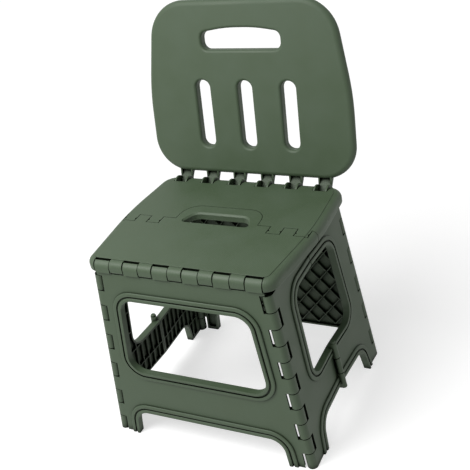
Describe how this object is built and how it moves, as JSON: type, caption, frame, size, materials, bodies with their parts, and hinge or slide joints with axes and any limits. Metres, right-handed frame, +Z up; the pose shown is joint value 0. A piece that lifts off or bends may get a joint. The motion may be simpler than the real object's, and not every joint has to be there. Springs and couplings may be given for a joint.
{
  "type": "folding stool with backrest",
  "caption": "Folding step stool in moulded plastic with a reclined slotted backrest, hinged side panels and a seat that lifts in the middle to fold flat.",
  "frame": {"origin": "on the floor, under the middle of the whole stool's bounding box, standing open", "axes": "+X to the right as seen from the front, +Y to the rear, +Z up"},
  "size_m": [0.3478, 0.3354, 0.5946],
  "materials": {
    "panel_polypropylene": "moulded polypropylene, satin",
    "seat_polypropylene": "moulded polypropylene, fine grained",
    "pin_polypropylene": "moulded polypropylene, satin",
    "steel_rod": "drawn steel rod"
  },
  "bodies": {
    "rear_frame": {"rear_panel_with_backrest": "panel_polypropylene", "seat_rear_pin": "steel_rod", "rear_left_corner_pin": "steel_rod", "rear_right_corner_pin": "steel_rod"},
    "seat_rear": {"seat_rear_half": "seat_polypropylene", "seat_centre_pin_left": "steel_rod", "seat_centre_pin_right": "steel_rod"},
    "left_rear": {"left_side_rear": "panel_polypropylene"},
    "left_front": {"left_side_front": "panel_polypropylene", "left_side_pin": "pin_polypropylene"},
    "front_frame": {"front_panel": "panel_polypropylene", "seat_front_pin": "steel_rod", "front_left_corner_pin": "steel_rod", "front_right_corner_pin": "steel_rod"},
    "seat_front": {"seat_front_half": "seat_polypropylene"},
    "right_rear": {"right_side_rear": "panel_polypropylene"},
    "right_front": {"right_side_front": "panel_polypropylene", "right_side_pin": "pin_polypropylene"}
  },
  "joints": [
    {"name": "seat_rear_hinge", "type": "hinge", "parent": "rear_frame", "child": "seat_rear", "pos_m": [0, 0.09704, 0.308], "axis": [-1, 0, 0], "range_deg": [0, 84]},
    {"name": "left_rear_corner_hinge", "type": "hinge", "parent": "rear_frame", "child": "left_rear", "pos_m": [-0.16366, 0.10925, 0], "axis": [0.0953, -0.0394, 0.9947], "range_deg": [0, 85.93]},
    {"name": "left_middle_hinge", "type": "hinge", "parent": "left_rear", "child": "left_front", "pos_m": [-0.16371, -0.02344, 0.085], "axis": [-0.0978, 0, -0.9952], "range_deg": [0, 171.45]},
    {"name": "left_front_corner_hinge", "type": "hinge", "parent": "left_front", "child": "front_frame", "pos_m": [-0.16366, -0.15614, 0], "axis": [0.0953, 0.0394, 0.9947], "range_deg": [0, 85.93]},
    {"name": "seat_front_hinge", "type": "hinge", "parent": "front_frame", "child": "seat_front", "pos_m": [0, -0.14393, 0.308], "axis": [1, 0, 0], "range_deg": [0, 84.02]},
    {"name": "right_rear_corner_hinge", "type": "hinge", "parent": "rear_frame", "child": "right_rear", "pos_m": [0.16366, 0.10925, 0], "axis": [0.0953, 0.0394, -0.9947], "range_deg": [0, 85.93]},
    {"name": "right_middle_hinge", "type": "hinge", "parent": "right_rear", "child": "right_front", "pos_m": [0.16371, -0.02344, 0.085], "axis": [-0.0978, 0, 0.9952], "range_deg": [0, 171.45]}
  ],
  "couplings": [
    {"joint": "left_rear_corner_hinge", "follows": "seat_rear_hinge", "ratio": 1.0227},
    {"joint": "left_middle_hinge", "follows": "seat_rear_hinge", "ratio": 2.0408},
    {"joint": "left_front_corner_hinge", "follows": "seat_rear_hinge", "ratio": 1.0227},
    {"joint": "seat_front_hinge", "follows": "seat_rear_hinge", "ratio": 1},
    {"joint": "right_rear_corner_hinge", "follows": "seat_rear_hinge", "ratio": 1.0227},
    {"joint": "right_middle_hinge", "follows": "seat_rear_hinge", "ratio": 2.0408}
  ]
}
